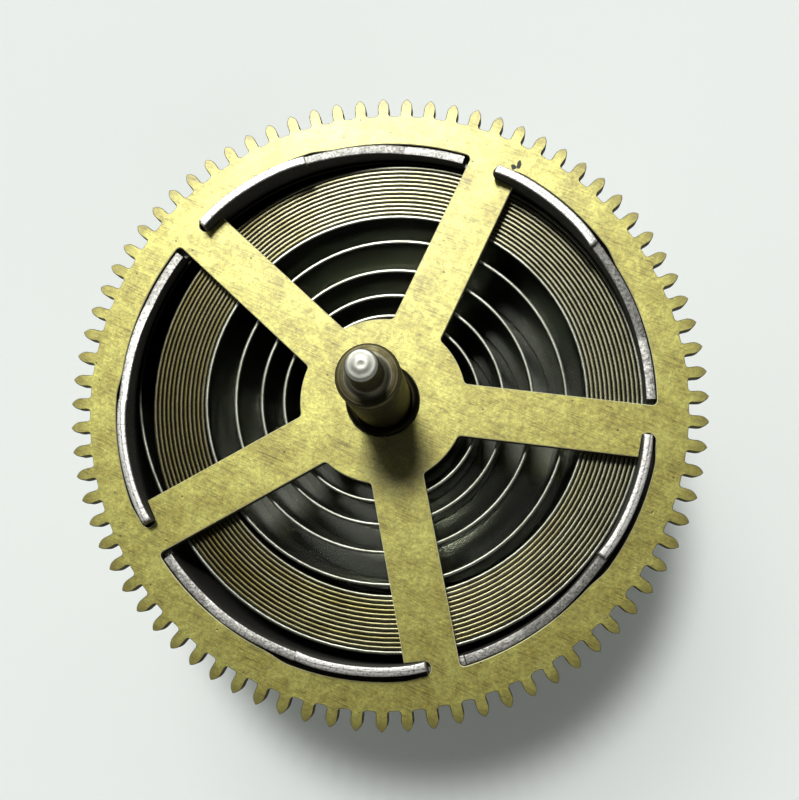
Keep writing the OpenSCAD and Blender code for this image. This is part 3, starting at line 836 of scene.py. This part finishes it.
def tongue_top(wheel, drum, turn):
    """Height of the wall's edge over the wheel's lower face, at an angle from a crossing."""
    full = DRUM_HIGH.z - WHEEL_LOW.z
    step = level_from(drum)
    foot = step - drum.ramp
    soft, droop, rising = math.radians(0.25), 0.12 * MM, math.radians(0.4)
    if step <= turn <= -drum.stop:
        inward = min(turn - step, -drum.stop - turn)
        return full - droop * (1 - min(inward / soft, 1)) ** 2
    if foot < turn < step:
        return drum.rise + (full - drum.step - drum.rise) * (turn - foot) / drum.ramp
    if turn <= foot:
        past_corner = turn + 2 * math.pi / wheel.crossings - window_corner(wheel)
        return drum.rise * smooth(past_corner / rising)
    return 0.0


def drum_section(wheel, drum, turn, window):
    """Closed section of the drum's wall and floor at one direction."""
    under = WHEEL_LOW.z
    thick = WHEEL_HIGH.z - under
    inner = drum.radius - drum.wall
    top = under + tongue_top(wheel, drum, turn)
    step = level_from(drum)
    along = (2 * turn - step + drum.stop) / drum.level
    bow = drum.bow * min(abs(along), 1) ** 4 if step <= turn <= -drum.stop else 0.0
    raised = smooth(1 + (turn - step) / drum.ramp) if turn < step else 1.0
    # Heights over which the wall bends: its flare below the wheel, the ledge at
    # the wheel's face, the inset in the window, which begins a little early on
    # the inside, and the bow above the wheel.
    flaring, edge, insetting, bowing = 0.9 * MM, 0.03 * MM, 0.7 * thick, 0.6 * MM
    early = 0.35 * MM

    def outer_at(z):
        up = z - under
        ledge = (drum.ledge + drum.flare) * min(max(up / edge + 1, 0), 1)
        rest = (drum.inset - drum.ledge + drum.thin) * raised * smooth(up / insetting)
        spread = drum.flare * smooth(up / flaring + 1)
        return drum.radius + spread - ledge - rest - bow * smooth((up - thick) / bowing)

    def inner_at(z):
        up = z - under
        rest = drum.inset * (0.2 + 0.8 * raised) * smooth((up + early) / (early + insetting))
        return inner - rest - bow * smooth((up - thick) / bowing)

    lip = drum.lip * (0.5 + 0.5 * raised)
    low = top - lip
    floor = DRUM_LOW.z
    inside = floor + drum.wall
    corner = drum.corner
    inner_corner = max(corner - drum.wall, 0.2 * MM)
    quarter = math.pi / 2
    points = [(drum.hole, floor)]
    points += bend(drum.radius - corner, floor + corner, corner, -quarter, 0, 6)
    rows = [
        -2 * flaring / 3, -edge, 0, early, 2 * early, insetting, thick, thick + bowing / 2,
        thick + bowing]
    rows = [min(under + z, low) for z in rows] + [low]
    points += [(outer_at(z), z) for z in rows]
    points += bend(outer_at(low) - lip, low, lip, 0, quarter, 4)[1:]
    points += bend(inner_at(low) + lip, low, lip, quarter, math.pi, 4)[:-1]
    points += [(inner_at(z), z) for z in reversed(rows)]
    points += bend(inner - inner_corner, inside + inner_corner, inner_corner, 0, -quarter, 4)
    points.append((drum.hole, inside))
    return [polar(r, window + turn, z) for r, z in points]


def drum_mesh(wheel, drum):
    """Drawn cup whose wall rises into a tongue in each window."""
    span = 2 * math.pi / wheel.crossings
    step = level_from(drum)
    # Even steps, with finer ones where the wall's edge changes height.
    turns = [-span + span * (i + 0.5) / 96 for i in range(96)]
    steep = (-0.3, -0.15, -0.06, -0.02, 0.02, 0.06, 0.15, 0.3)
    rising = (0, 0.13, 0.27, 0.4)
    for place, shifts in (
            (step, steep), (-drum.stop, steep), (step - drum.ramp, (0,)),
            (window_corner(wheel) - span, rising)):
        turns += [place + math.radians(shift) for shift in shifts]
    turns.sort()
    sections = []
    for index in reversed(range(wheel.crossings)):
        window = crossing_turn(wheel, index)
        sections += [drum_section(wheel, drum, turn, window) for turn in turns]
    return skin(sections, closed=True)


def strip_path(spring):
    """Middle line of the spring's strip, from the wall inwards to the core."""
    step = math.radians(4)
    points = []
    turn = spring.start
    pack_end = spring.joins + spring.pack_turns * 2 * math.pi
    last = pack_end + spring.open_turns * 2 * math.pi
    end_line = spring.pack_line - spring.pitch * spring.pack_turns
    while turn <= last:
        if turn < spring.leaves:
            line, off = spring.wall_line, 0.0
        elif turn < spring.joins:
            u = smooth((turn - spring.leaves) / (spring.joins - spring.leaves))
            line = spring.wall_line + (spring.pack_line - spring.wall_line) * u
            off = spring.offset * u
        elif turn < pack_end:
            line = spring.pack_line - spring.pitch * (turn - spring.joins) / (2 * math.pi)
            off = spring.offset
        else:
            left = max(1 - (turn - pack_end) / (spring.open_turns * 2 * math.pi), 0)
            line = spring.core_line + (end_line - spring.core_line) * left ** spring.power
            off = spring.offset * left ** 2
        points.append(polar(line, turn) + polar(off, spring.direction))
        turn += step
    return points


def mainspring_mesh(spring):
    """Strip with rounded edges, wound along its path."""
    path = strip_path(spring)
    half = spring.strip / 2
    edge = spring.edge
    low, high = SPRING_LOW.z, SPRING_HIGH.z
    corner = bend(half - edge, edge, edge, 0, -math.pi / 2, 3)
    section = [(x, low + z) for x, z in corner]
    section += [(-x, low + z) for x, z in reversed(corner)]
    section += [(-x, high - z) for x, z in corner]
    section += [(x, high - z) for x, z in reversed(corner)]
    rings = []
    for i, point in enumerate(path):
        before = path[max(i - 1, 0)]
        after = path[min(i + 1, len(path) - 1)]
        along = (after - before).normalized()
        outward = Vector((along.y, -along.x, 0))
        rings.append([point + outward * x + Vector((0, 0, z)) for x, z in section])
    return skin(rings, caps=True)


def arbor_mesh(arbor):
    """Arbor turned from one bar, with a winding square at its front end."""
    tip = ARBOR_HIGH.z
    shoulder = tip - arbor.pivot_length
    journal = CORE_LOW.z
    end = ARBOR_LOW.z
    front_end = end + arbor.square_length
    front_shoulder = front_end + arbor.front_length
    rounding, break_edge, chamfer = 0.35 * MM, 0.1 * MM, 0.15 * MM
    quarter = math.pi / 2
    # The pivot's end is rounded over, and its root and the shoulder are bends.
    profile = [
        (0.3 * MM, tip), (arbor.pivot - 0.4 * MM, tip), (arbor.pivot - 0.2 * MM, tip - 0.05 * MM),
        (arbor.pivot - 0.07 * MM, tip - 0.2 * MM), (arbor.pivot, tip - 0.55 * MM)]
    profile += bend(
        arbor.pivot + arbor.root, shoulder + arbor.root, arbor.root, math.pi, 3 * quarter, 6)
    profile += bend(arbor.shaft - rounding, shoulder - rounding, rounding, quarter, 0, 4)
    flat = arbor.square / 2
    profile += [
        (arbor.shaft, journal + 0.01 * MM),
        (arbor.journal - break_edge, journal), (arbor.journal, journal - break_edge),
        (arbor.journal, front_shoulder + break_edge),
        (arbor.journal - break_edge, front_shoulder), (arbor.front, front_shoulder),
        (arbor.front, front_end + chamfer), (arbor.front - chamfer, front_end),
        (flat, front_end), (flat, end + 2 * chamfer), (flat - 2 * chamfer, end)]

    def squared(radius, height, turn):
        if height > front_end or radius > flat + 1e-6:
            return radius
        from_flat = (turn + quarter / 2) % quarter - quarter / 2
        return min(radius / math.cos(from_flat), radius + arbor.corners - flat)

    return skin(turned(profile, 160, squared), caps=True)


def wheel_bush_mesh(wheel, arbor):
    """Steel bush riveted into the wheel, its upper edge peened and nicked."""
    bore = arbor.shaft + RUNNING
    neck = wheel.bore - SNUG
    low, top = BUSH_LOW.z, BUSH_HIGH.z
    flange = BUSH_HIGH.x
    under, face = WHEEL_LOW.z, WHEEL_HIGH.z
    break_edge, peened, rubbed = 0.1 * MM, 0.3 * MM, 0.08 * MM
    nick_depth, nick_base = 0.1 * MM, 0.02 * MM
    profile = [
        (bore, low), (flange - break_edge, low), (flange, low + break_edge),
        (flange, under - break_edge), (flange - break_edge, under), (neck, under),
        (neck, face + break_edge), (neck, top - peened), (neck - 0.4 * peened, top - break_edge),
        (neck - peened, top), (bore + rubbed, top), (bore, top - rubbed)]

    def nicked(radius, height, turn):
        if height < face + break_edge / 2 or radius < bore + 2 * break_edge:
            return radius
        spot = noise.noise(Vector((math.cos(turn) * 4, math.sin(turn) * 4, 7.3)))
        return radius - nick_depth * max(spot, -0.1) - nick_base

    return skin(turned(profile, 240, nicked), closed=True)


def drum_bush_mesh(drum, arbor):
    """Brass bush riveted through the drum's floor."""
    bore = arbor.journal + RUNNING
    low, high = DRUM_BUSH_LOW.z, DRUM_BUSH_HIGH.z
    flange = DRUM_BUSH_HIGH.x
    under = DRUM_LOW.z
    neck = drum.hole - SNUG
    mouth, rim, seat, top_edge = 0.15 * MM, 0.25 * MM, 0.05 * MM, 0.1 * MM
    profile = [
        (bore, low + mouth), (bore + mouth, low), (flange - rim, low),
        (flange, low + rim), (flange, under - seat), (flange - seat, under),
        (neck, under), (neck, high - top_edge), (neck - top_edge, high), (bore, high)]
    return skin(turned(profile, 128), closed=True)


def wall_hook_mesh(drum):
    """Rivet hook with a peened head outside the drum."""
    middle = (HOOK_LOW + HOOK_HIGH) / 2
    turn = math.atan2(middle.y, middle.x)
    head = (HOOK_HIGH.z - HOOK_LOW.z) / 2
    dome, seat = 0.8 * MM, drum.radius - 0.08 * MM
    near = drum.radius - drum.wall - 0.63 * MM
    shank, break_edge = 1.2 * MM, 0.15 * MM
    profile = [
        (0.2 * MM, near), (shank - break_edge, near), (shank, near + break_edge),
        (shank, drum.radius - 0.3 * MM)]
    for i in range(8):
        a = math.pi / 2 * i / 7
        profile.append((max(head * math.cos(a), 0.15 * MM), seat + dome * math.sin(a)))
    bm = skin(turned(profile, 48), caps=True)
    lay_down = Matrix.Rotation(turn, 4, "Z") @ Matrix.Rotation(math.pi / 2, 4, "Y")
    bm.transform(Matrix.Translation((0, 0, middle.z)) @ lay_down)
    return bm


# Operators


class BARREL_OT_great_wheel(bpy.types.Operator):
    """Build the great wheel in rolled brass"""

    bl_idname = "barrel.great_wheel"
    bl_label = "Great Wheel"

    def execute(self, context):
        barrel = context.scene.barrel
        piece("great_wheel_brass", lambda: great_wheel_mesh(barrel.wheel, barrel.drum), "barrel",
              ["great_wheel"], rolled_brass(barrel.finish, barrel.wheel))
        return {"FINISHED"}


class BARREL_OT_drum(bpy.types.Operator):
    """Build the drum with its tongues, its bush and its hook"""

    bl_idname = "barrel.drum"
    bl_label = "Drum"

    def execute(self, context):
        barrel = context.scene.barrel
        finish = barrel.finish
        piece("drum_cup", lambda: drum_mesh(barrel.wheel, barrel.drum), "barrel",
              ["barrel_drum"], drawn_steel(finish))
        bush = turned_metal("turned_bush_brass", finish.bush, finish.brass_dark, ring=0.15)
        piece("drum_bush_brass", lambda: drum_bush_mesh(barrel.drum, barrel.arbor), "barrel",
              ["drum_bush"], bush)
        rivet = turned_metal(
            "peened_rivet_steel", finish.bright, finish.drum_dark, ring=0.4, roughness=0.4)
        piece("wall_hook_rivet", lambda: wall_hook_mesh(barrel.drum), "barrel",
              ["wall_hook"], rivet)
        return {"FINISHED"}


class BARREL_OT_mainspring(bpy.types.Operator):
    """Wind the mainspring with all its turns"""

    bl_idname = "barrel.mainspring"
    bl_label = "Mainspring"

    def execute(self, context):
        barrel = context.scene.barrel
        piece("mainspring_strip", lambda: mainspring_mesh(barrel.spring), "barrel",
              ["mainspring"], spring_steel(barrel.finish, barrel.spring),
              sharp=50)
        return {"FINISHED"}


class BARREL_OT_arbor(bpy.types.Operator):
    """Turn the arbor and its bush, and finish the core"""

    bl_idname = "barrel.arbor"
    bl_label = "Arbor"

    def execute(self, context):
        barrel = context.scene.barrel
        finish = barrel.finish
        piece("arbor_bar", lambda: arbor_mesh(barrel.arbor), "arbor",
              ["arbor"], arbor_steel(finish, barrel.arbor), sharp=30)
        # The bush is coloured near black all over.
        bush = turned_metal(
            "peened_bush_steel", finish.soot_and_shade, finish.soot_and_shade, ring=0.5, roughness=0.35, strength=0.9)
        piece("wheel_bush_ring", lambda: wheel_bush_mesh(barrel.wheel, barrel.arbor), "barrel",
              ["wheel_bush"], bush)
        core = turned_metal("turned_core_steel", finish.bright, finish.drum_dark, ring=0.2)
        for node in ("arbor_core", "core_pin", "core_hook"):
            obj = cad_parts[node]
            obj.data.materials.clear()
            obj.data.materials.append(core)
        return {"FINISHED"}


class BARREL_OT_stage(bpy.types.Operator):
    """Set the table, the light and the camera"""

    bl_idname = "barrel.stage"
    bl_label = "Stage"

    def execute(self, context):
        scene = context.scene
        stage = scene.barrel.stage
        floor_mesh = bpy.data.meshes.new("table_top")
        floor = bpy.data.objects.new("table_top", floor_mesh)
        scene.collection.objects.link(floor)
        far, level = 4.0, ARBOR_LOW.z - 0.05 * MM
        corners = [(x * far, y * far, level) for x, y in ((-1, -1), (1, -1), (1, 1), (-1, 1))]
        floor_mesh.from_pydata(corners, [], [(0, 1, 2, 3)])
        # A matt table top: pale, a little green, and without any sheen.
        material = new_material("pale_matt_table")
        shader = add(material, "BsdfPrincipled", {
            "Base Color": (*stage.floor, 1), "Roughness": 0.9})
        add(material, "OutputMaterial", {"Surface": shader})
        floor_mesh.materials.append(material)

        # Each lamp's direction from the part, its strength and its width in degrees.
        lamps = [
            ("key_light", (-0.125, 0.46, 1.0), stage.key, 12.0),
            ("low_light", (-0.28, 0.87, 1.0), stage.low, 26.0),
            ("fill_light", (0.5, -0.8, 0.42), stage.fill, 70.0),
            ("left_gleam", (-0.175, 0.035, 1.0), stage.gleam, 5.5),
            ("right_gleam", (0.09, 0.08, 1.0), 0.2 * stage.gleam, 4.0),
        ]
        for name, toward, strength, spread in lamps:
            lamp = bpy.data.lights.new(name, "SUN")
            lamp.energy = strength
            lamp.angle = math.radians(spread)
            obj = bpy.data.objects.new(name, lamp)
            obj.rotation_mode = "QUATERNION"
            obj.rotation_quaternion = Vector(toward).to_track_quat("Z", "Y")
            scene.collection.objects.link(obj)

        world = bpy.data.worlds.new("room_light")
        world.use_nodes = True
        world.node_tree.nodes.clear()
        rays = add(world, "LightPath")
        seen = add(world, "Background", {"Color": (*stage.floor, 1), "Strength": 0.9})
        # The room is bright low down at the back and dark overhead.
        back, overhead, low_down = (-0.25, 0.6, -1.0), 0.03, 4.4
        side = add(world, "TexCoord").outputs["Generated"]
        toward = add(world, "VectorMath", {0: side, 1: back}, operation="DOT_PRODUCT")
        values = (toward, -0.85, 0.45, overhead * stage.sky, low_down * stage.sky)
        level = add(world, "MapRange", dict(zip(RANGE, values)), interpolation_type="SMOOTHSTEP")
        room = add(world, "Background", {"Color": (0.95, 1.0, 0.97, 1), "Strength": level})
        both = add(world, "MixShader", {0: rays.outputs["Is Camera Ray"], 1: room, 2: seen})
        add(world, "OutputWorld", {"Surface": both})
        scene.world = world
        scene.view_settings.view_transform = "Standard"

        camera = bpy.data.cameras.new("camera")
        camera.lens = stage.lens
        camera.sensor_width = 36
        camera.clip_start = 0.001
        camera.clip_end = 20
        view = bpy.data.objects.new("camera", camera)
        # Fitted to the photo's tooth tips.
        pitch, roll, above_wheel = -0.153527, -0.076677, Vector((9.451, -15.570, 100.323))
        turn = Matrix.Rotation(pitch, 4, "X") @ Matrix.Rotation(roll, 4, "Y")
        place = above_wheel * MM + Vector((0, 0, WHEEL_HIGH.z))
        view.matrix_world = Matrix.Translation(place) @ turn.transposed()
        scene.collection.objects.link(view)
        scene.camera = view
        return {"FINISHED"}


class BARREL_PT_panel(bpy.types.Panel):
    """Lists the barrel's pieces and settings"""

    bl_idname = "BARREL_PT_panel"
    bl_label = "Going Barrel"
    bl_space_type = "VIEW_3D"
    bl_region_type = "UI"
    bl_category = "Going Barrel"

    def draw(self, context):
        for operator in OPERATORS:
            self.layout.operator(operator.bl_idname)
        for name, group in GROUPS.items():
            box = self.layout.box()
            box.label(text=name.title())
            for field in group.__annotations__:
                box.prop(getattr(context.scene.barrel, name), field)


OPERATORS = [
    BARREL_OT_stage,
    BARREL_OT_great_wheel,
    BARREL_OT_drum,
    BARREL_OT_mainspring,
    BARREL_OT_arbor,
]
CLASSES = [*GROUPS.values(), BARREL_PG_settings, *OPERATORS, BARREL_PT_panel]


def register():
    for cls in CLASSES:
        bpy.utils.register_class(cls)
    bpy.types.Scene.barrel = PointerProperty(type=BARREL_PG_settings)


def unregister():
    del bpy.types.Scene.barrel
    for cls in reversed(CLASSES):
        bpy.utils.unregister_class(cls)


def main():
    """Builds everything."""
    register()
    bpy.ops.barrel.stage()
    bpy.ops.barrel.great_wheel()
    bpy.ops.barrel.drum()
    bpy.ops.barrel.mainspring()
    bpy.ops.barrel.arbor()


if __name__ == "__main__":
    main()
